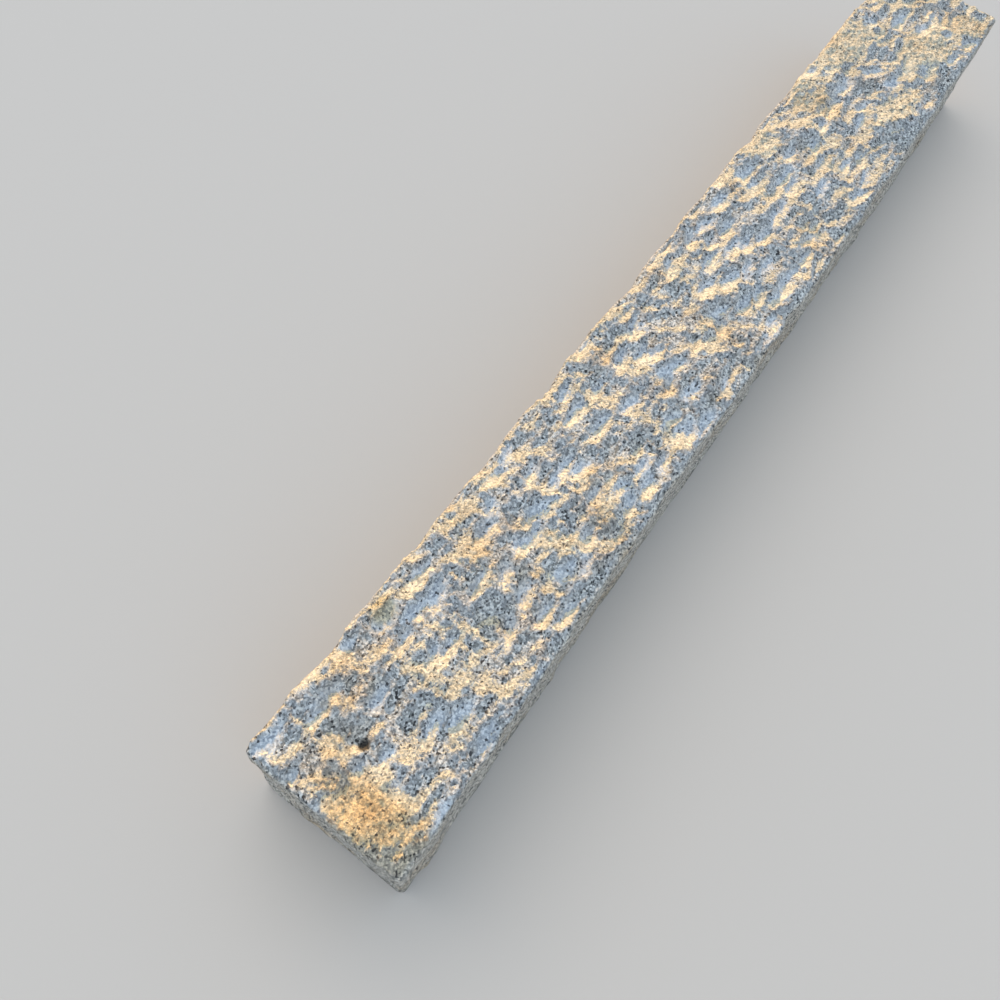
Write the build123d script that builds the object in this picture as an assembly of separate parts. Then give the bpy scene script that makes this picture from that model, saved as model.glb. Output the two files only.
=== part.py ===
from build123d import *
import math
import os

os.makedirs("parts", exist_ok=True)

# One granite kerb stone, lying on its bed. X runs along it to the far end, Y to its left side, Z up.

# Driving sizes, mm. Width and length are over the widest bulges.
stone_length = 1000.0
stone_width = 126.0
stone_height = 110.0

# How far the left corner of each end falls short of the right one
near_end_skew = 4.0
far_end_skew = 5.0

# Broken edges: the pitched long arrises, the worn bed arrises and the ends
arris_round = 6.0
arris_round_change = 0.25
bed_arris_round = 2.5
end_arris_round = 4.0

# Pitched long edges: how far they run in and out, and how far the stone narrows away from its widest place
edge_wave = 1.6
edge_wave_pitch = 50.0
width_swell = 2.4
widest_place = 0.25

# Rise and fall of the dressed top, and its fall towards the edges
top_wave = 2.2
top_wave_pitch = 110.0
top_crown = 1.2

# Hollows and swells of the split sides
side_wave = 2.0
side_wave_pitch = 140.0

# Chips out of the long edges: place as a share of the length from the middle, side, share of the depth.
# They reach down the edge by their whole depth, and into its outline by their bite.
chip_bite = 0.4
chip_depth = 4.0
chip_half_length = 14.0
chips = [
    (-0.494, -1, 0.7),
    (-0.308, -1, 0.8),
    (-0.256, -1, 1.1),
    (-0.178, -1, 0.8),
    (-0.150, -1, 1.0),
    (0.014, -1, 1.2),
    (0.085, -1, 0.6),
    (0.129, -1, 0.6),
    (0.182, -1, 0.7),
    (0.482, -1, 0.6),
    (-0.421, 1, 1.1),
    (-0.335, 1, 0.9),
    (-0.248, 1, 0.9),
    (-0.173, 1, 1.4),
    (-0.044, 1, 1.5),
    (0.113, 1, 0.6),
    (0.178, 1, 1.1),
    (0.255, 1, 0.9),
    (0.312, 1, 1.1),
    (0.445, 1, 0.8),
]

# The wider bevel pitched off the right edge towards the far end
long_bevel_place = 0.35
long_bevel_half_length = 90.0
long_bevel_depth = 3.5

section_count = 96
top_points = 8


def wave(s, pitch, phase):
    turn = 2 * math.pi * s / pitch
    slow = math.sin(0.617 * turn + 2.3 * phase + 1.1)
    quick = math.sin(1.713 * turn + 1.7 * phase + 2.9)
    return (math.sin(turn + phase) + 0.8 * slow + 0.5 * quick) / 2.3


def bump(s, place, half_length):
    away = (s - place * stone_length) / half_length
    return math.exp(-away * away)


def chip(s, side):
    return chip_depth * sum(share * bump(s, place, chip_half_length) for place, at, share in chips if at == side)


def end_inset(s):
    # A quarter round over the last few millimetres of each end.
    short = 1 - min(1.0, (stone_length / 2 - abs(s)) / end_arris_round)
    return end_arris_round * (1 - math.sqrt(1 - short * short))


def arris(s, side):
    size = arris_round * (1 + arris_round_change * wave(s, 0.83 * edge_wave_pitch, 0.7 + side)) + chip(s, side)
    if side < 0:
        size += long_bevel_depth * bump(s, long_bevel_place, long_bevel_half_length)
    return size


def half_width(s, side):
    swell = width_swell * (1 - math.cos(2 * math.pi * (s / stone_length - widest_place))) / 2
    run = edge_wave * (1 - wave(s, edge_wave_pitch, 2.1 - side)) / 2
    return stone_width / 2 - swell - run - chip_bite * chip(s, side)


def side_hollow(s, side, z):
    up = z / stone_height
    turn = 2 * math.pi * (s / side_wave_pitch + 0.35 * side)
    ripple = math.sin(turn + 3.0 * up) + 0.6 * math.sin(1.7 * turn - 4.0 * up + 1.3)
    return side_wave * (0.5 + 0.3 * ripple) * math.sin(math.pi * up)


def top_height(s, y):
    turn = 2 * math.pi / top_wave_pitch
    roll = math.sin(turn * (s + 0.9 * y) + 0.4)
    roll += 0.8 * math.sin(turn * (0.63 * s - 1.6 * y) + 2.2)
    roll += 0.6 * math.sin(turn * (1.55 * s + 2.1 * y) + 4.0)
    across = 2 * y / stone_width
    return stone_height - top_wave * (1 - roll / 2.4) / 2 - top_crown * across * across


def section(s):
    # One closed cross-section. Its ends stand on a line slightly out of square, blended along the stone.
    inset = end_inset(s)
    along = s / stone_length + 0.5
    skew = (1 - along) * near_end_skew - along * far_end_skew

    def at(y, z):
        return Vector(s + skew * (y / stone_width + 0.5), y, z)

    def edge(side):
        # From below the bed, round its arris, up the split side and over the pitched edge.
        out = half_width(s, side) - inset
        cut = arris(s, side)
        brow = top_height(s, side * (out - cut)) - inset
        foot = [(out - bed_arris_round * drop * drop / 2, bed_arris_round * (1 - drop)) for drop in (2, 1, 0)]
        heights = [bed_arris_round + (brow - cut - bed_arris_round) * i / 3 for i in range(4)]
        wall = [(out - side_hollow(s, side, z), z) for z in heights[1:3]]
        wall = [foot[2]] + wall + [(out, heights[3])]
        pitched = [(out, heights[3]), (out, brow), (out - cut, brow)]
        return [[at(side * y, z) for y, z in line] for line in (foot, wall, pitched)]

    right = edge(-1)
    left = edge(1)
    start, end = right[2][2], left[2][2]
    steps = top_points - 1
    across = [start.Y + (end.Y - start.Y) * i / steps for i in range(1, steps)]
    top = [start] + [at(y, top_height(s, y) - inset) for y in across] + [end]

    lines = [Edge.make_line(left[0][0], right[0][0])]
    lines += [Edge.make_bezier(*points) for points in right]
    lines += [Edge.make_spline(top, parameters=[i / steps for i in range(top_points)])]
    lines += [Edge.make_bezier(*points[::-1]) for points in left[::-1]]
    return Wire(lines)


# The sections stand close together in the rounded ends and evenly between them.
half = stone_length / 2
end_steps = [0.0, 0.08 * end_arris_round, 0.35 * end_arris_round]
even_length = stone_length - 2 * end_arris_round
even_steps = [end_arris_round + even_length * i / section_count for i in range(section_count + 1)]
stations = end_steps + even_steps + [stone_length - step for step in end_steps[::-1]]
rough_stone = Solid.make_loft([section(step - half) for step in stations], ruled=True)

# The bed is cut flat.
below_bed = Box(
    2 * stone_length,
    2 * stone_width,
    2 * bed_arris_round,
    align=(Align.CENTER, Align.CENTER, Align.MAX),
)
kerb_stone = (rough_stone - below_bed).solid()

# The origin is the middle of the bed.
box = kerb_stone.bounding_box()
kerb_stone = kerb_stone.moved(Location((-box.center().X, -box.center().Y, -box.min.Z)))
kerb_stone.label = "kerb_stone"

export_step(kerb_stone, "parts/kerb_stone.step")
print("valid", kerb_stone.is_valid, "volume", round(kerb_stone.volume), "box", kerb_stone.bounding_box())
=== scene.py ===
import bpy
import math
from mathutils import Matrix, Vector


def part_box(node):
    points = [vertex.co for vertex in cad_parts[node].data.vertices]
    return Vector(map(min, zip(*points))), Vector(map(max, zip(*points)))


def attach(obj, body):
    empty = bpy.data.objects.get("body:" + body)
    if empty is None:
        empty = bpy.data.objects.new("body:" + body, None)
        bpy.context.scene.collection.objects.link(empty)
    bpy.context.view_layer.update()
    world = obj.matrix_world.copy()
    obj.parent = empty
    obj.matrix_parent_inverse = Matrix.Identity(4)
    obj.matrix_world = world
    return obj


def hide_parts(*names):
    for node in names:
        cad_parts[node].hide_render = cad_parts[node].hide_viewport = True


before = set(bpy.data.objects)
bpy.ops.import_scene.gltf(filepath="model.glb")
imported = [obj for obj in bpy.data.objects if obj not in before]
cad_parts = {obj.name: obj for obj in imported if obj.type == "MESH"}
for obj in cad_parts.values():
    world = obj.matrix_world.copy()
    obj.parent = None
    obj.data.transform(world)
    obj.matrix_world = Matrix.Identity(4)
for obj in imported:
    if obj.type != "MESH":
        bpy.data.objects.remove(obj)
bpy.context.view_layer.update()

mm = 0.001
perMetre = 1000.0


def hexColour(code):
    # sRGB hex to the linear values that sockets take
    channels = [int(code[i:i + 2], 16) / 255 for i in (1, 3, 5)]
    return [c / 12.92 if c <= 0.04045 else ((c + 0.055) / 1.055) ** 2.4 for c in channels] + [1.0]


def addNode(tree, kind, settings, inputs):
    # one node with its settings; an input takes a plain value, a socket, or a node for its first output
    node = tree.nodes.new(kind)
    for name, value in settings.items():
        setattr(node, name, value)
    for name, value in inputs.items():
        source = value.outputs[0] if isinstance(value, bpy.types.Node) else value
        if isinstance(source, bpy.types.NodeSocket):
            tree.links.new(source, node.inputs[name])
        else:
            node.inputs[name].default_value = source
    return node


# The stone's skin, in mm: a closed grid that is laid on the solid and then dressed.
# It is fine on the top and over the long edges, and half as fine along the sides.
stoneSkin = {
    "stepAlong": 1.40,
    "stepAcross": 1.34,
    "fineRows": 4,
    "fineStep": 1.7,
    "coarseRows": 24,
    "innerMargin": 16.0,
    "bedMargin": 0.05,
}


def joinRings(above, below):
    # quads between two rings of points that run the same way round the stone
    count = len(above)
    return [(below[k], below[(k + 1) % count], above[(k + 1) % count], above[k]) for k in range(count)]


def halveRing(above, below):
    # three triangles carry each pair of fine steps over to one coarse step
    faces = []
    count = len(below)
    for k in range(count):
        left, middle, right = above[2 * k], above[2 * k + 1], above[(2 * k + 2) % len(above)]
        start, end = below[k], below[(k + 1) % count]
        faces += [(start, middle, left), (start, end, middle), (end, right, middle)]
    return faces


def makeSkin(low, high, skin):
    size = high - low
    countX = 2 * round(size.x / (2 * skin["stepAlong"] * mm))
    countY = 2 * round(size.y / (2 * skin["stepAcross"] * mm))
    xs = [low.x + size.x * i / countX for i in range(countX + 1)]
    ys = [low.y + size.y * j / countY for j in range(countY + 1)]
    points = [(x, y, high.z) for x in xs for y in ys]
    row = countY + 1
    faces = [
        (i * row + j, (i + 1) * row + j, (i + 1) * row + j + 1, i * row + j + 1)
        for i in range(countX) for j in range(countY)
    ]
    rim = [i * row for i in range(countX)] + [countX * row + j for j in range(countY)]
    rim += [i * row + countY for i in range(countX, 0, -1)] + list(range(countY, 0, -1))

    drop = skin["fineStep"] * mm
    fineHeights = [high.z - drop * k for k in range(1, skin["fineRows"] + 1)]
    coarseStep = (fineHeights[-1] - low.z) / skin["coarseRows"]
    coarseHeights = [fineHeights[-1] - coarseStep * k for k in range(1, skin["coarseRows"] + 1)]
    above = rim
    for height in fineHeights + coarseHeights:
        halved = height == coarseHeights[0]
        outline = [points[n][:2] for n in (above[::2] if halved else above)]
        below = list(range(len(points), len(points) + len(outline)))
        points += [(x, y, height) for x, y in outline]
        faces += halveRing(above, below) if halved else joinRings(above, below)
        above = below
    faces.append(above[::-1])
    mesh = bpy.data.meshes.new("graniteKerb")
    mesh.from_pydata(points, [], faces)
    mesh.update()
    return mesh


# How the faces were worked. Lengths and depths are in mm, and a scale is one over its pattern's size in mm.
stoneDressing = {
    "Furrow length": 38.0,
    "Furrow width": 16.0,
    "Furrow depth": 5.8,
    "Peck length": 23.0,
    "Peck width": 13.0,
    "Peck depth": 3.0,
    "Pit depth": 4.0,
    "Blow lean": 0.5,
    "Blow join": 0.6,
    "Top level": 1.5,
    "Top swell": 13.0,
    "Ragged edge": 3.2,
    "Crumble": 2.1,
    "Ridge crumbs": 1.2,
    "Side swell": 9.0,
    "Side breaks": 4.0,
    "Patch outline": 1.6,
    "Patch lean": 3.0,
    # the next two: painted light cream on the spared patches, and how much the noise parts change that cream
    "Patch weather": 0.45,
    "Weather change": 1.3,
    "Ragged scale": 1 / 8.0,
    "Crumb scale": 1 / 4.5,
    "Top swell scale": 1 / 45.0,
    "Side swell scale": 1 / 34.0,
    "Side break scale": 1 / 9.0,
    "Part scale": 1 / 32.0,
    "Seed": 11.0,
}

# Passes of the point over the top: tool mark, lie along the stone and the spread of that lie in degrees,
# and share of the mark's depth
blowPasses = [
    ("Furrow", -16.0, 36.0, 1.0),
    ("Furrow", -2.0, 50.0, 0.8),
    ("Peck", -50.0, 150.0, 1.0),
]
passSeedStep = 7.3

# One blow, in shares of its full size and depth
blowShape = {
    "scatter": 0.85,
    "reach": {"To Min": 0.48, "To Max": 0.75},
    "scoop": {"From Min": 1.0, "From Max": 0.1},
    "force": {"To Min": 0.45, "To Max": 1.0},
    "floor": {"From Min": 0.7, "From Max": 0.4},
    "hardForce": 0.6,
    "steepEnd": (0.7, 0.9, 0.0),
}

# Patches that the point spared: middle and half size along and across in mm
sparedPatches = [
    ((-482.0, -22.0), (26.0, 36.0)),
    ((168.0, 50.0), (24.0, 20.0)),
    ((260.0, 40.0), (28.0, 20.0)),
    ((345.0, 46.0), (52.0, 22.0)),
    ((298.0, -32.0), (42.0, 16.0)),
    ((392.0, -22.0), (36.0, 26.0)),
    ((462.0, -44.0), (26.0, 20.0)),
]

# The one deep pit, in mm along and across
pitPlace = (-451.0, 5.0)

# So tall a reach, in mm, that height plays no part
anyHeight = 1000.0

# The way towards the low key lamp, in shares of along and across; faces turned this way are painted a lit
# cream, which is painted light
keyLampWay = (0.75, 0.66, 0.0)

# Ramps of the relief: by the lean of the smooth face, by depth, distance and place in mm, by height in m
reliefRamps = {
    "topShare": {"From Min": 0.25, "From Max": 0.9},
    "pit": {"From Min": 4.6, "From Max": 1.0},
    "patch": {"From Min": 1.4, "From Max": 1.95, "To Min": 0.3},
    "floorShown": {"From Min": 0.7, "From Max": 0.3},
    "crumbs": {"To Min": -2.0, "To Max": 2.0},
    "ridge": {"From Min": 2.3, "From Max": 1.3},
    "loose": {"From Min": 3.0, "From Max": 1.0, "To Min": 0.2},
    "farther": {"From Min": 80.0, "From Max": 450.0, "To Min": -0.64, "To Max": -0.52},
    "belowEdge": {"From Min": 106.0 * mm, "From Max": 84.0 * mm, "To Min": 0.3},
    "offBed": {"From Max": 6.0 * mm, "To Max": mm},
}


def blowTree():
    # one pass of the point: long scoops with flat floors, each with its own turn, reach and force
    tree = bpy.data.node_groups.new("chiselBlows", "GeometryNodeTree")
    tree.interface.new_socket("Place", in_out="INPUT", socket_type="NodeSocketVector")
    for name in ("Length", "Width", "Lie", "Spread", "Lean", "Seed"):
        tree.interface.new_socket(name, in_out="INPUT", socket_type="NodeSocketFloat")
    for name in ("Depth share", "Floor share"):
        tree.interface.new_socket(name, in_out="OUTPUT", socket_type="NodeSocketFloat")
    start = addNode(tree, "NodeGroupInput", {}, {}).outputs

    # each blow has one cell, as long and wide as the mark
    about = {"rotation_type": "Z_AXIS"}
    spacing = addNode(tree, "ShaderNodeCombineXYZ", {}, {"X": start["Length"], "Y": start["Width"], "Z": 1.0})
    laid = addNode(tree, "ShaderNodeVectorRotate", about, {"Vector": start["Place"], "Angle": start["Lie"]})
    inCells = addNode(tree, "ShaderNodeVectorMath", {"operation": "DIVIDE"}, {0: laid, 1: spacing})
    shift = addNode(tree, "ShaderNodeCombineXYZ", {}, {"X": start["Seed"]})
    place = addNode(tree, "ShaderNodeVectorMath", {"operation": "ADD"}, {0: inCells, 1: shift})
    cells = addNode(tree, "ShaderNodeTexVoronoi", {"voronoi_dimensions": "2D"},
                    {"Vector": place, "Scale": 1.0, "Randomness": blowShape["scatter"]})
    chance = addNode(tree, "FunctionNodeSeparateColor", {}, {"Color": cells.outputs["Color"]}).outputs

    # the place in the blow's own turn, in shares of its length and width
    away = addNode(tree, "ShaderNodeVectorMath", {"operation": "SUBTRACT"},
                   {0: place, 1: cells.outputs["Position"]})
    real = addNode(tree, "ShaderNodeVectorMath", {"operation": "MULTIPLY"}, {0: away, 1: spacing})
    turn = addNode(tree, "ShaderNodeMath", {"operation": "SUBTRACT"}, {0: chance[0], 1: 0.5})
    turned = addNode(tree, "ShaderNodeMath", {"operation": "MULTIPLY"}, {0: turn, 1: start["Spread"]})
    own = addNode(tree, "ShaderNodeVectorRotate", about, {"Vector": real, "Angle": turned})
    unit = addNode(tree, "ShaderNodeVectorMath", {"operation": "DIVIDE"}, {0: own, 1: spacing})
    flat = addNode(tree, "ShaderNodeVectorMath", {"operation": "MULTIPLY"}, {0: unit, 1: (1, 1, 0)})
    distance = addNode(tree, "ShaderNodeVectorMath", {"operation": "LENGTH"}, {0: flat})
    reach = addNode(tree, "ShaderNodeMapRange", {}, {"Value": chance[1], **blowShape["reach"]})
    share = addNode(tree, "ShaderNodeMath", {"operation": "DIVIDE"}, {0: distance.outputs["Value"], 1: reach})
    scoop = addNode(tree, "ShaderNodeMapRange", {"interpolation_type": "SMOOTHSTEP"},
                    {"Value": share, **blowShape["scoop"]})

    # a blow goes in shallow and stops against a steep end, at the far left of its scoop
    run = addNode(tree, "ShaderNodeVectorMath", {"operation": "DOT_PRODUCT"},
                  {0: flat, 1: blowShape["steepEnd"]})
    runShare = addNode(tree, "ShaderNodeMath", {"operation": "DIVIDE"}, {0: run.outputs["Value"], 1: reach})
    deeper = addNode(tree, "ShaderNodeMath", {"operation": "MULTIPLY_ADD"},
                     {0: runShare, 1: start["Lean"], 2: 1.0})
    force = addNode(tree, "ShaderNodeMapRange", {}, {"Value": chance[2], **blowShape["force"]})
    driven = addNode(tree, "ShaderNodeMath", {"operation": "MULTIPLY"}, {0: deeper, 1: force})
    depth = addNode(tree, "ShaderNodeMath", {"operation": "MULTIPLY"}, {0: scoop, 1: driven})

    # only the hard blows bruise their floors
    floor = addNode(tree, "ShaderNodeMapRange", {}, {"Value": share, **blowShape["floor"]})
    hard = addNode(tree, "ShaderNodeMath", {"operation": "GREATER_THAN"},
                   {0: chance[2], 1: blowShape["hardForce"]})
    bruised = addNode(tree, "ShaderNodeMath", {"operation": "MULTIPLY"}, {0: floor, 1: hard})
    addNode(tree, "NodeGroupOutput", {}, {"Depth share": depth, "Floor share": bruised})
    return tree


def layOnSolid(tree, start, place, height):
    # rays out of a smaller box inside the solid carry the grid to its faces; its lowest row stays on the bed
    solid = addNode(tree, "GeometryNodeObjectInfo", {}, {"Object": start["Solid"]}).outputs["Geometry"]
    raised = addNode(tree, "ShaderNodeVectorMath", {"operation": "MAXIMUM"},
                     {0: place, 1: start["Inner low"]})
    inside = addNode(tree, "ShaderNodeVectorMath", {"operation": "MINIMUM"},
                     {0: raised, 1: start["Inner high"]})
    outwards = addNode(tree, "ShaderNodeVectorMath", {"operation": "SUBTRACT"}, {0: place, 1: inside})
    ray = addNode(tree, "GeometryNodeRaycast", {}, {
        "Target Geometry": solid,
        "Source Position": inside,
        "Ray Direction": outwards,
        "Ray Length": 1.0,
    })
    aboveBed = addNode(tree, "ShaderNodeMath", {"operation": "GREATER_THAN"},
                       {0: height, 1: stoneSkin["bedMargin"] * mm})
    keepUp = addNode(tree, "ShaderNodeCombineXYZ", {}, {"X": 1.0, "Y": 1.0, "Z": aboveBed})
    onSolid = addNode(tree, "ShaderNodeVectorMath", {"operation": "MULTIPLY"},
                      {0: ray.outputs["Hit Position"], 1: keepUp})
    return addNode(tree, "GeometryNodeSetPosition", {}, {"Geometry": start["Geometry"], "Position": onSolid})


def shakePlaces(tree, start, here):
    # places shaken a little, so that the blows' outlines are ragged
    shaking = addNode(tree, "ShaderNodeTexNoise", {},
                      {"Vector": here, "Scale": start["Ragged scale"], "Detail": 3.0, "Roughness": 0.6})
    shake = addNode(tree, "ShaderNodeVectorMath", {"operation": "SUBTRACT"},
                    {0: shaking.outputs["Color"], 1: (0.5, 0.5, 0.5)})
    shakeReach = addNode(tree, "ShaderNodeMath", {"operation": "MULTIPLY"},
                         {0: start["Ragged edge"], 1: 2.0})
    shaken = addNode(tree, "ShaderNodeVectorMath", {"operation": "SCALE"}, {0: shake, "Scale": shakeReach})
    return addNode(tree, "ShaderNodeVectorMath", {"operation": "ADD"}, {0: here, 1: shaken})


def strikeTop(tree, start, ragged):
    # each pass digs on from the ones before it
    blows = blowTree()
    depth = 0.0
    floors = []
    for number, (mark, lie, spread, share) in enumerate(blowPasses):
        seed = addNode(tree, "ShaderNodeMath", {"operation": "ADD"},
                       {0: start["Seed"], 1: passSeedStep * number})
        blow = addNode(tree, "GeometryNodeGroup", {"node_tree": blows}, {
            "Place": ragged,
            "Length": start[mark + " length"],
            "Width": start[mark + " width"],
            "Lie": math.radians(lie),
            "Spread": math.radians(spread),
            "Lean": start["Blow lean"],
            "Seed": seed,
        })
        full = addNode(tree, "ShaderNodeMath", {"operation": "MULTIPLY"},
                       {0: start[mark + " depth"], 1: share})
        dug = addNode(tree, "ShaderNodeMath", {"operation": "MULTIPLY"},
                      {0: blow.outputs["Depth share"], 1: full})
        depth = addNode(tree, "ShaderNodeMath", {"operation": "SMOOTH_MAX"},
                        {0: depth, 1: dug, 2: start["Blow join"]})
        if mark == "Furrow":
            floors.append((dug, blow.outputs["Floor share"]))
    return depth, floors


def digPit(tree, start, here, depth):
    # one small deep pit near the end
    onPlan = addNode(tree, "ShaderNodeVectorMath", {"operation": "MULTIPLY"}, {0: here, 1: (1, 1, 0)})
    away = addNode(tree, "ShaderNodeVectorMath", {"operation": "DISTANCE"}, {0: onPlan, 1: (*pitPlace, 0.0)})
    pit = addNode(tree, "ShaderNodeMapRange", {"interpolation_type": "SMOOTHSTEP"},
                  {"Value": away.outputs["Value"], **reliefRamps["pit"], "To Max": start["Pit depth"]})
    return addNode(tree, "ShaderNodeMath", {"operation": "ADD"}, {0: depth, 1: pit})


def bruiseFloors(tree, depth, floors):
    # a furrow's floor is bruised smooth where no later blow went deeper
    bruise = 0.0
    for dug, floor in floors:
        left = addNode(tree, "ShaderNodeMath", {"operation": "SUBTRACT"}, {0: depth, 1: dug})
        shown = addNode(tree, "ShaderNodeMapRange", {}, {"Value": left, **reliefRamps["floorShown"]})
        seen = addNode(tree, "ShaderNodeMath", {"operation": "MULTIPLY"}, {0: floor, 1: shown})
        bruise = addNode(tree, "ShaderNodeMath", {"operation": "MAXIMUM"}, {0: bruise, 1: seen})
    return bruise


def sparePatches(tree, start, ragged, parts):
    # how hard each place was struck, and how far it rises, as the spared patches lean towards the key lamp
    struck = 1.0
    risen = 0.0
    awayFromKeyLamp = tuple(-share for share in keyLampWay)
    for middle, reach in sparedPatches:
        fromPatch = addNode(tree, "ShaderNodeVectorMath", {"operation": "SUBTRACT"},
                            {0: ragged, 1: (*middle, 0.0)})
        inPatch = addNode(tree, "ShaderNodeVectorMath", {"operation": "DIVIDE"},
                          {0: fromPatch, 1: (*reach, anyHeight)})
        distance = addNode(tree, "ShaderNodeVectorMath", {"operation": "LENGTH"}, {0: inPatch})
        outline = addNode(tree, "ShaderNodeMath", {"operation": "MULTIPLY_ADD"},
                          {0: parts, 1: start["Patch outline"], 2: distance.outputs["Value"]})
        hit = addNode(tree, "ShaderNodeMapRange", {"interpolation_type": "SMOOTHSTEP"},
                      {"Value": outline, **reliefRamps["patch"]})
        struck = addNode(tree, "ShaderNodeMath", {"operation": "MULTIPLY"}, {0: struck, 1: hit})
        rise = addNode(tree, "ShaderNodeVectorMath", {"operation": "DOT_PRODUCT"},
                       {0: inPatch, 1: awayFromKeyLamp})
        free = addNode(tree, "ShaderNodeMath", {"operation": "SUBTRACT"}, {0: 1.0, 1: hit})
        lift = addNode(tree, "ShaderNodeMath", {"operation": "MULTIPLY"}, {0: rise.outputs["Value"], 1: free})
        risen = addNode(tree, "ShaderNodeMath", {"operation": "MULTIPLY_ADD"},
                        {0: lift, 1: start["Patch lean"], 2: risen})
    return struck, risen


def reliefOfTop(tree, start, here, depth, risen, crumbs):
    # the ridges between the furrows stand broken and crumbly, the furrow floors much smoother
    loose = addNode(tree, "ShaderNodeMapRange", {}, {"Value": depth, **reliefRamps["loose"]})
    rough = addNode(tree, "ShaderNodeMath", {"operation": "MULTIPLY"}, {0: loose, 1: start["Crumble"]})
    broken = addNode(tree, "ShaderNodeMath", {"operation": "MULTIPLY"}, {0: crumbs, 1: rough})
    rolling = addNode(tree, "ShaderNodeTexNoise", {},
                      {"Vector": here, "Scale": start["Top swell scale"], "Detail": 1.0})
    roll = addNode(tree, "ShaderNodeMath", {"operation": "SUBTRACT"}, {0: rolling, 1: 0.5})
    level = addNode(tree, "ShaderNodeMath", {"operation": "MULTIPLY_ADD"},
                    {0: roll, 1: start["Top swell"], 2: start["Top level"]})
    leaned = addNode(tree, "ShaderNodeMath", {"operation": "ADD"}, {0: level, 1: risen})
    above = addNode(tree, "ShaderNodeMath", {"operation": "SUBTRACT"}, {0: leaned, 1: depth})
    return addNode(tree, "ShaderNodeMath", {"operation": "ADD"}, {0: above, 1: broken})


def reliefOfSides(tree, start, here, height):
    # the split sides swell softly, with fine breaks, and less so close under the top
    swell = addNode(tree, "ShaderNodeTexNoise", {},
                    {"Vector": here, "Scale": start["Side swell scale"], "Detail": 3.0})
    swelling = addNode(tree, "ShaderNodeMath", {"operation": "SUBTRACT"}, {0: swell, 1: 0.5})
    swollen = addNode(tree, "ShaderNodeMath", {"operation": "MULTIPLY"},
                      {0: swelling, 1: start["Side swell"]})
    breaks = addNode(tree, "ShaderNodeTexNoise", {},
                     {"Vector": here, "Scale": start["Side break scale"], "Detail": 3.0, "Roughness": 0.6})
    breaking = addNode(tree, "ShaderNodeMath", {"operation": "SUBTRACT"}, {0: breaks, 1: 0.5})
    full = addNode(tree, "ShaderNodeMath", {"operation": "MULTIPLY_ADD"},
                   {0: breaking, 1: start["Side breaks"], 2: swollen})
    belowEdge = addNode(tree, "ShaderNodeMapRange", {}, {"Value": height, **reliefRamps["belowEdge"]})
    return addNode(tree, "ShaderNodeMath", {"operation": "MULTIPLY"}, {0: full, 1: belowEdge})


def paintCreamAndLight(tree, start, here, normal, parts, struck):
    # painted light: faces turned to the low key lamp get a lit cream; noise parts and the far end get more of
    # that cream, and the spared patches most
    facing = addNode(tree, "ShaderNodeVectorMath", {"operation": "DOT_PRODUCT"}, {0: normal, 1: keyLampWay})
    broad = addNode(tree, "GeometryNodeBlurAttribute", {"data_type": "FLOAT"},
                    {"Value": facing.outputs["Value"], "Iterations": 3, "Weight": 1.0})
    along = addNode(tree, "ShaderNodeSeparateXYZ", {}, {"Vector": here}).outputs["X"]
    farther = addNode(tree, "ShaderNodeMapRange", {}, {"Value": along, **reliefRamps["farther"]})
    more = addNode(tree, "ShaderNodeMath", {"operation": "MULTIPLY_ADD"},
                   {0: parts, 1: start["Weather change"], 2: farther})
    spared = addNode(tree, "ShaderNodeMath", {"operation": "SUBTRACT"}, {0: 1.0, 1: struck})
    most = addNode(tree, "ShaderNodeMath", {"operation": "MULTIPLY_ADD"},
                   {0: spared, 1: start["Patch weather"], 2: more})
    return addNode(tree, "ShaderNodeMath", {"operation": "ADD"}, {0: broad, 1: most})


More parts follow.
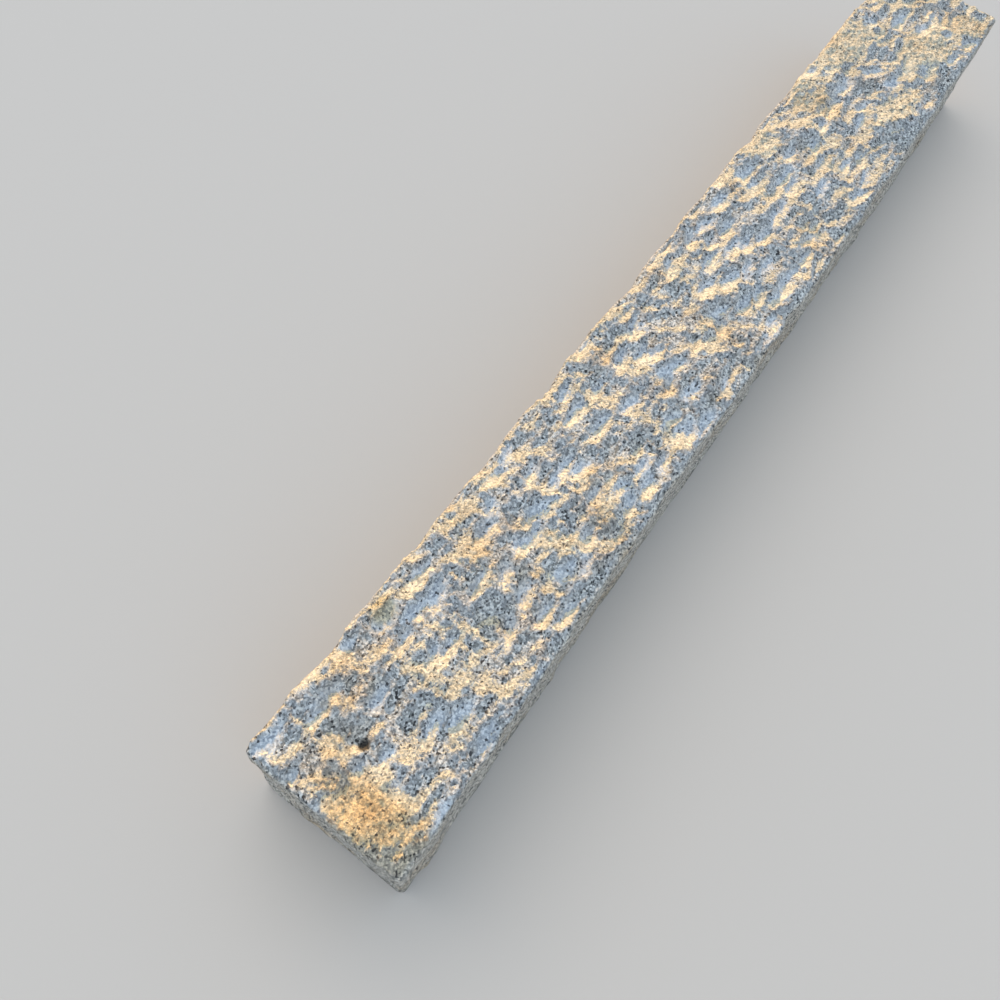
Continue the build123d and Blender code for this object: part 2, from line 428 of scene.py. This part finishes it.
def dressingTree(granite):
    tree = bpy.data.node_groups.new("dressStone", "GeometryNodeTree")
    sockets = [("Geometry", "Geometry"), ("Solid", "Object")]
    sockets += [("Inner low", "Vector"), ("Inner high", "Vector")]
    sockets += [(name, "Float") for name in stoneDressing]
    for name, kind in sockets:
        tree.interface.new_socket(name, in_out="INPUT", socket_type="NodeSocket" + kind)
    tree.interface.new_socket("Geometry", in_out="OUTPUT", socket_type="NodeSocketGeometry")
    start = addNode(tree, "NodeGroupInput", {}, {}).outputs

    # places in metres, and in mm for the patterns
    place = addNode(tree, "GeometryNodeInputPosition", {}, {})
    height = addNode(tree, "ShaderNodeSeparateXYZ", {}, {"Vector": place}).outputs["Z"]
    here = addNode(tree, "ShaderNodeVectorMath", {"operation": "SCALE"}, {0: place, "Scale": perMetre})
    laid = layOnSolid(tree, start, place, height)

    # the way out of the smooth stone, and how far each place belongs to the dressed top
    normal = addNode(tree, "GeometryNodeInputNormal", {}, {})
    held = addNode(tree, "GeometryNodeCaptureAttribute", {}, {"Geometry": laid})
    held.capture_items.new("VECTOR", "out")
    tree.links.new(normal.outputs[0], held.inputs["out"])
    out = held.outputs["out"]
    lean = addNode(tree, "ShaderNodeSeparateXYZ", {}, {"Vector": out}).outputs["Z"]
    topShare = addNode(tree, "ShaderNodeMapRange", {"interpolation_type": "SMOOTHSTEP"},
                       {"Value": lean, **reliefRamps["topShare"]})

    # the blows and the pit, shallower where the point spared the stone
    ragged = shakePlaces(tree, start, here)
    allBlows, floors = strikeTop(tree, start, ragged)
    pitted = digPit(tree, start, here, allBlows)
    allBruises = bruiseFloors(tree, pitted, floors)
    parts = addNode(tree, "ShaderNodeTexNoise", {},
                    {"Vector": here, "Scale": start["Part scale"], "Detail": 5.0, "Roughness": 0.55})
    struck, risen = sparePatches(tree, start, ragged, parts)
    depth = addNode(tree, "ShaderNodeMath", {"operation": "MULTIPLY"}, {0: pitted, 1: struck})
    bruise = addNode(tree, "ShaderNodeMath", {"operation": "MULTIPLY"}, {0: allBruises, 1: struck})

    # crumbs, which also break up the outlines of the crushed ridges
    crumbling = addNode(tree, "ShaderNodeTexNoise", {},
                        {"Vector": here, "Scale": start["Crumb scale"], "Detail": 4.0, "Roughness": 0.65})
    crumbs = addNode(tree, "ShaderNodeMapRange", {"clamp": False},
                     {"Value": crumbling, **reliefRamps["crumbs"]})
    uneven = addNode(tree, "ShaderNodeMath", {"operation": "MULTIPLY_ADD"},
                     {0: crumbs, 1: start["Ridge crumbs"], 2: depth})
    ridge = addNode(tree, "ShaderNodeMapRange", {}, {"Value": uneven, **reliefRamps["ridge"]})

    # the relief is worked out in mm, fades to nothing on the bed, and is turned to metres as it fades
    topRelief = reliefOfTop(tree, start, here, depth, risen, crumbs)
    sideRelief = reliefOfSides(tree, start, here, height)
    relief = addNode(tree, "ShaderNodeMix", {"data_type": "FLOAT"},
                     {0: topShare, 2: sideRelief, 3: topRelief})
    fade = addNode(tree, "ShaderNodeMapRange", {}, {"Value": height, **reliefRamps["offBed"]})
    push = addNode(tree, "ShaderNodeMath", {"operation": "MULTIPLY"}, {0: relief, 1: fade})
    offset = addNode(tree, "ShaderNodeVectorMath", {"operation": "SCALE"}, {0: out, "Scale": push})
    stored = addNode(tree, "GeometryNodeSetPosition", {},
                     {"Geometry": held.outputs["Geometry"], "Offset": offset})

    # what the blows left on the top, and the lit cream painted on faces turned to the key lamp, is kept for
    # the material
    creamAndLight = paintCreamAndLight(tree, start, here, normal, parts, struck)
    faceKinds = {"crushedRidge": ridge, "bruisedFloor": bruise, "weathered": creamAndLight, "dressedTop": 1.0}
    for name, value in faceKinds.items():
        onTop = addNode(tree, "ShaderNodeMath", {"operation": "MULTIPLY"}, {0: value, 1: topShare})
        stored = addNode(tree, "GeometryNodeStoreNamedAttribute", {"data_type": "FLOAT", "domain": "POINT"},
                         {"Geometry": stored, "Name": name, "Value": onTop})
    single = addNode(tree, "GeometryNodeRealizeInstances", {}, {"Geometry": stored})
    shaded = addNode(tree, "GeometryNodeSetShadeSmooth", {}, {"Geometry": single})
    finished = addNode(tree, "GeometryNodeSetMaterial", {}, {"Geometry": shaded, "Material": granite})
    addNode(tree, "NodeGroupOutput", {}, {"Geometry": finished})
    return tree


# The minerals of the bare stone, and how much of it is each of them
graniteMinerals = [
    ("#DED8CA", 0.30),
    ("#B3B0A6", 0.32),
    ("#87857C", 0.28),
    ("#393632", 0.10),
]

# Sizes in mm, the colours that the blows have given the faces, the cream painted as key light on faces turned
# to the lamp, and how much they cover
graniteLook = {
    "crystalSize": 1.45,
    "crystalBend": 0.9,
    "faceTilt": 0.38,
    "crushed": "#BDBBB5",
    # painted light: the cream that stands in for the key lamp on faces turned to it
    "weathered": "#E2D0AB",
    "bruised": "#C2C8CC",
    "rust": "#EDC88E",
    "sideTone": "#EDE6DD",
    "bruiseCover": 0.42,
    "crushedCover": 0.5,
    "crumbCover": 0.85,
    "stainSize": 55.0,
    "gritSize": 1.9,
    "gritFray": 0.9,
    "gritHeight": 2.3,
    "roughness": 0.85,
    "ior": 1.54,
}

# Ramps of the material, each from the range of what it goes by to the range that it gives
graniteRamps = {
    # the lit cream, painted light, ramps in over this range
    "weathered": {"From Min": 0.52, "From Max": 0.62},
    "notBlack": {"From Min": 0.96, "From Max": 0.965, "To Min": 1.0, "To Max": 0.15},
    "crumbLightness": {"To Min": 0.50, "To Max": 1.2},
    # painted shade in the grit's hollows
    "gritHollowShade": {"From Min": 0.36, "From Max": 0.56, "To Min": 0.5, "To Max": 1.08},
    "filled": {"To Max": 0.5},
    "stain": {"From Min": 0.52, "From Max": 0.74, "To Max": 0.6},
    "spot": {"From Min": 0.55, "From Max": 0.1, "To Max": 0.9},
    "worn": {"To Min": 1.0, "To Max": 0.5},
}

# Spots of their own on the top: middle and half size along and across in mm, and the colour that they give
ownSpots = [
    ((-490.0, -38.0), (32.0, 46.0), "#FFEDD0"),
    ((-376.0, 49.0), (12.0, 11.0), "#FFEAC0"),
    # painted shade: dark brown in the pit's hollow
    (pitPlace, (4.2, 3.6), "#3A2E22"),
]


def colourMinerals(tree, chance):
    # each crystal takes one mineral's colour by its chance
    minerals = addNode(tree, "ShaderNodeValToRGB", {}, {"Fac": chance})
    ramp = minerals.color_ramp
    ramp.interpolation = "CONSTANT"
    ramp.elements.remove(ramp.elements[1])
    begin = 0.0
    for code, share in graniteMinerals:
        band = ramp.elements.new(begin) if begin else ramp.elements[0]
        band.color = hexColour(code)
        begin += share
    return minerals.outputs["Color"]


def coverTop(tree, minerals, chance, grit, crushed, bruised, creamAndLight):
    # the furrows' floors are bruised to a smooth pale grey; the blackest crystals show through all covers
    look = graniteLook
    pale = addNode(tree, "ShaderNodeMapRange", {}, {"Value": chance[0], **graniteRamps["notBlack"]})
    smoothed = addNode(tree, "ShaderNodeMath", {"operation": "MULTIPLY"},
                       {0: bruised, 1: look["bruiseCover"]})
    floorCover = addNode(tree, "ShaderNodeMath", {"operation": "MULTIPLY"}, {0: smoothed, 1: pale})
    floored = addNode(tree, "ShaderNodeMix", {"data_type": "RGBA"},
                      {0: floorCover, 6: minerals, 7: hexColour(look["bruised"])})

    # the ridges are crushed to crumbs, and what faces the key lamp is painted a lit cream, frayed by the grit
    frayed = addNode(tree, "ShaderNodeMath", {"operation": "MULTIPLY_ADD"},
                     {0: grit, 1: look["gritFray"], 2: creamAndLight})
    weathered = addNode(tree, "ShaderNodeMapRange", {}, {"Value": frayed, **graniteRamps["weathered"]})
    lightness = addNode(tree, "ShaderNodeMapRange", {},
                        {"Value": chance[1], **graniteRamps["crumbLightness"]})
    crumbs = addNode(tree, "ShaderNodeMix", {"data_type": "RGBA"},
                     {0: weathered, 6: hexColour(look["crushed"]), 7: hexColour(look["weathered"])})
    speckled = addNode(tree, "ShaderNodeVectorMath", {"operation": "SCALE"},
                       {0: crumbs.outputs[2], "Scale": lightness})
    broken = addNode(tree, "ShaderNodeMath", {"operation": "MULTIPLY"}, {0: crushed, 1: look["crushedCover"]})
    cover = addNode(tree, "ShaderNodeMath", {"operation": "MAXIMUM"}, {0: broken, 1: weathered})
    covered = addNode(tree, "ShaderNodeMath", {"operation": "MULTIPLY"}, {0: cover, 1: look["crumbCover"]})
    topCover = addNode(tree, "ShaderNodeMath", {"operation": "MULTIPLY"}, {0: covered, 1: pale})
    flecked = addNode(tree, "ShaderNodeMix", {"data_type": "RGBA"},
                      {0: topCover, 6: floored.outputs[2], 7: speckled})
    return flecked.outputs[2]


def stainStone(tree, colour, here, bent, top):
    # the split sides are browner, and iron has stained the stone yellow in soft patches
    look = graniteLook
    sided = addNode(tree, "ShaderNodeMix", {"data_type": "RGBA"},
                    {0: top, 6: hexColour(look["sideTone"]), 7: (1, 1, 1, 1)})
    toned = addNode(tree, "ShaderNodeMix", {"data_type": "RGBA", "blend_type": "MULTIPLY"},
                    {0: 1.0, 6: colour, 7: sided.outputs[2]})
    patches = addNode(tree, "ShaderNodeTexNoise", {},
                      {"Vector": here, "Scale": 1 / look["stainSize"], "Detail": 4.0, "Roughness": 0.6})
    stain = addNode(tree, "ShaderNodeMapRange", {}, {"Value": patches, **graniteRamps["stain"]})
    stained = addNode(tree, "ShaderNodeMix", {"data_type": "RGBA", "blend_type": "MULTIPLY"},
                      {0: stain, 6: toned.outputs[2], 7: hexColour(look["rust"])})

    # a few stains, and painted shade that darkens the pit, with frayed outlines
    for middle, reach, code in ownSpots:
        away = addNode(tree, "ShaderNodeVectorMath", {"operation": "SUBTRACT"}, {0: bent, 1: (*middle, 0.0)})
        inSpot = addNode(tree, "ShaderNodeVectorMath", {"operation": "DIVIDE"},
                         {0: away, 1: (*reach, anyHeight)})
        distance = addNode(tree, "ShaderNodeVectorMath", {"operation": "LENGTH"}, {0: inSpot})
        ragged = addNode(tree, "ShaderNodeMath", {"operation": "SUBTRACT"},
                         {0: distance.outputs["Value"], 1: patches})
        spot = addNode(tree, "ShaderNodeMapRange", {}, {"Value": ragged, **graniteRamps["spot"]})
        onTop = addNode(tree, "ShaderNodeMath", {"operation": "MULTIPLY"}, {0: spot, 1: top})
        stained = addNode(tree, "ShaderNodeMix", {"data_type": "RGBA", "blend_type": "MULTIPLY"},
                          {0: onTop, 6: stained.outputs[2], 7: hexColour(code)})
    return stained.outputs[2]


def pointedGranite():
    # yellow-grey granite, split and dressed with a point: broken crystals, rough and matt
    material = bpy.data.materials.new("pointedGranite")
    material.use_nodes = True
    tree = material.node_tree
    tree.nodes.clear()
    look = graniteLook
    metres = addNode(tree, "ShaderNodeTexCoord", {}, {}).outputs["Object"]
    here = addNode(tree, "ShaderNodeVectorMath", {"operation": "SCALE"}, {0: metres, "Scale": perMetre})
    # the third attribute carries the lit cream, which is painted light
    crushed, bruised, creamAndLight, top = [
        addNode(tree, "ShaderNodeAttribute", {"attribute_name": name}, {}).outputs["Fac"]
        for name in ("crushedRidge", "bruisedFloor", "weathered", "dressedTop")
    ]

    # crystals with their outlines bent, so that none looks like a cell
    bending = addNode(tree, "ShaderNodeTexNoise", {},
                      {"Vector": here, "Scale": 1 / look["crystalSize"], "Detail": 2.0})
    bend = addNode(tree, "ShaderNodeVectorMath", {"operation": "SCALE"},
                   {0: bending.outputs["Color"], "Scale": look["crystalBend"]})
    bent = addNode(tree, "ShaderNodeVectorMath", {"operation": "ADD"}, {0: here, 1: bend})
    crystals = addNode(tree, "ShaderNodeTexVoronoi", {}, {"Vector": bent, "Scale": 1 / look["crystalSize"]})
    chance = addNode(tree, "ShaderNodeSeparateColor", {}, {"Color": crystals.outputs["Color"]}).outputs
    minerals = colourMinerals(tree, chance[0])

    # painted shade: darker where the grit's bump is low, fainter on the bruised floors and the split sides
    grit = addNode(tree, "ShaderNodeTexNoise", {},
                   {"Vector": here, "Scale": 1 / look["gritSize"], "Detail": 4.0, "Roughness": 0.65})
    covered = coverTop(tree, minerals, chance, grit, crushed, bruised, creamAndLight)
    gritHollowShade = addNode(tree, "ShaderNodeMapRange", {}, {"Value": grit, **graniteRamps["gritHollowShade"]})
    split = addNode(tree, "ShaderNodeMath", {"operation": "SUBTRACT"}, {0: 1.0, 1: top})
    closed = addNode(tree, "ShaderNodeMath", {"operation": "MAXIMUM"}, {0: bruised, 1: split})
    filled = addNode(tree, "ShaderNodeMapRange", {}, {"Value": closed, **graniteRamps["filled"]})
    shade = addNode(tree, "ShaderNodeMix", {"data_type": "FLOAT"}, {0: filled, 2: gritHollowShade, 3: 1.0})
    shaded = addNode(tree, "ShaderNodeVectorMath", {"operation": "SCALE"}, {0: covered, "Scale": shade})
    colour = stainStone(tree, shaded, here, bent, top)

    # each broken crystal face leans its own way, with grit over it that is lower where the face is closed
    smooth = addNode(tree, "ShaderNodeNewGeometry", {}, {}).outputs["Normal"]
    centred = addNode(tree, "ShaderNodeVectorMath", {"operation": "SUBTRACT"},
                      {0: crystals.outputs["Color"], 1: (0.5, 0.5, 0.5)})
    tilt = addNode(tree, "ShaderNodeVectorMath", {"operation": "SCALE"},
                   {0: centred, "Scale": look["faceTilt"]})
    leaning = addNode(tree, "ShaderNodeVectorMath", {"operation": "ADD"}, {0: smooth, 1: tilt})
    facet = addNode(tree, "ShaderNodeVectorMath", {"operation": "NORMALIZE"}, {0: leaning})
    worn = addNode(tree, "ShaderNodeMapRange", {}, {"Value": closed, **graniteRamps["worn"]})
    gritRelief = addNode(tree, "ShaderNodeMath", {"operation": "MULTIPLY"}, {0: grit, 1: worn})
    bumped = addNode(tree, "ShaderNodeBump", {},
                     {"Height": gritRelief, "Distance": look["gritHeight"] * mm, "Normal": facet})
    shader = addNode(tree, "ShaderNodeBsdfPrincipled", {}, {
        "Base Color": colour,
        "Roughness": look["roughness"],
        "IOR": look["ior"],
        "Normal": bumped,
    })
    addNode(tree, "ShaderNodeOutputMaterial", {}, {"Surface": shader})
    return material


def setInputs(modifier, values):
    # inputs go by their sockets' identifiers
    for item in modifier.node_group.interface.items_tree:
        if item.item_type == "SOCKET" and item.in_out == "INPUT" and item.name in values:
            modifier[item.identifier] = values[item.name]


def makeStone():
    low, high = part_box("kerb_stone")
    margin = Vector([stoneSkin["innerMargin"] * mm] * 3)
    rough = bpy.data.objects.new("roughKerb", makeSkin(low, high, stoneSkin))
    bpy.context.scene.collection.objects.link(rough)
    dressing = rough.modifiers.new("dressing", "NODES")
    dressing.node_group = dressingTree(pointedGranite())
    setInputs(dressing, {
        "Solid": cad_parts["kerb_stone"],
        "Inner low": low + margin,
        "Inner high": high - margin,
        **stoneDressing,
    })
    evaluated = rough.evaluated_get(bpy.context.evaluated_depsgraph_get())
    stone = bpy.data.objects.new("granite_kerb", bpy.data.meshes.new_from_object(evaluated))
    bpy.context.scene.collection.objects.link(stone)
    bpy.data.objects.remove(rough)
    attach(stone, "root")
    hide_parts("kerb_stone")
    triangles = sum(len(face.vertices) - 2 for face in stone.data.polygons)
    print("dressed the stone:", len(stone.data.vertices), "points,", triangles, "triangles")
    return stone


# The camera looks down on the stone from above its near end. Its place and nearest reach are in mm.
photoView = {
    "place": (-527.9, -90.8, 665.6),
    "right": (0.56605, -0.82009, 0.08388),
    "down": (-0.71139, -0.53735, -0.45297),
    "focalShare": 0.909,
    "sensor": 36.0,
    "nearest": 10.0,
}


def addCamera():
    camera = bpy.data.cameras.new("photoView")
    camera.sensor_fit = "HORIZONTAL"
    camera.sensor_width = photoView["sensor"]
    camera.lens = photoView["sensor"] * photoView["focalShare"]
    camera.clip_start = photoView["nearest"] * mm
    viewer = bpy.data.objects.new("photoView", camera)
    right = Vector(photoView["right"]).normalized()
    down = Vector(photoView["down"])
    down = (down - right * down.dot(right)).normalized()
    turn = Matrix((right, -down, right.cross(-down))).transposed()
    viewer.matrix_world = Matrix.Translation(Vector(photoView["place"]) * mm) @ turn.to_4x4()
    bpy.context.scene.collection.objects.link(viewer)
    bpy.context.scene.camera = viewer


# The floor: how far it reaches from the stone, in metres, and its look
paleFloor = {"reach": 6.0, "colour": "#B5AB9D", "roughness": 0.9}


def addFloor():
    reach = paleFloor["reach"]
    mesh = bpy.data.meshes.new("paleFloor")
    corners = [(-reach, -reach, 0), (reach, -reach, 0), (reach, reach, 0), (-reach, reach, 0)]
    mesh.from_pydata(corners, [], [(0, 1, 2, 3)])
    floor = bpy.data.objects.new("paleFloor", mesh)
    # matt plaster, a warm grey that stays plain under the soft light
    plaster = bpy.data.materials.new("palePlaster")
    plaster.use_nodes = True
    shader = plaster.node_tree.nodes["Principled BSDF"]
    shader.inputs["Base Color"].default_value = hexColour(paleFloor["colour"])
    shader.inputs["Roughness"].default_value = paleFloor["roughness"]
    mesh.materials.append(plaster)
    bpy.context.scene.collection.objects.link(floor)
    return floor


# Sky light from everywhere, a low warm key on the stone and a wide soft lamp over the floor.
# Angles are in degrees: azimuth from +X towards +Y, height over the floor, width of the source.
skyLight = {"colour": "#CEE3FF", "strength": 1.4}
lamps = {
    "lowKey": {"colour": "#FFD8A2", "power": 5.7, "azimuth": 41.3, "height": 15.0, "width": 4.0},
    "floorSoftbox": {"colour": "#FFF1E0", "power": 1.3, "azimuth": 60.0, "height": 62.0, "width": 60.0},
}


def addLamp(name, receiver):
    # a distant lamp that reaches one object alone
    values = lamps[name]
    light = bpy.data.lights.new(name, "SUN")
    light.color = hexColour(values["colour"])[:3]
    light.energy = values["power"]
    light.angle = math.radians(values["width"])
    lamp = bpy.data.objects.new(name, light)
    azimuth = math.radians(values["azimuth"])
    height = math.radians(values["height"])
    level = math.cos(height)
    towards = Vector((math.cos(azimuth) * level, math.sin(azimuth) * level, math.sin(height)))
    lamp.rotation_euler = towards.to_track_quat("Z", "Y").to_euler()
    bpy.context.scene.collection.objects.link(lamp)
    lit = bpy.data.collections.new(name + "Lights")
    lit.objects.link(receiver)
    lamp.light_linking.receiver_collection = lit


def addSky():
    world = bpy.data.worlds.new("softSky")
    world.use_nodes = True
    sky = world.node_tree.nodes["Background"]
    sky.inputs["Color"].default_value = hexColour(skyLight["colour"])
    sky.inputs["Strength"].default_value = skyLight["strength"]
    bpy.context.scene.world = world


addCamera()
stone = makeStone()
floor = addFloor()
addSky()
addLamp("lowKey", stone)
addLamp("floorSoftbox", floor)
print("set the camera, floor and light")
bpy.context.scene.view_settings.view_transform = "Standard"
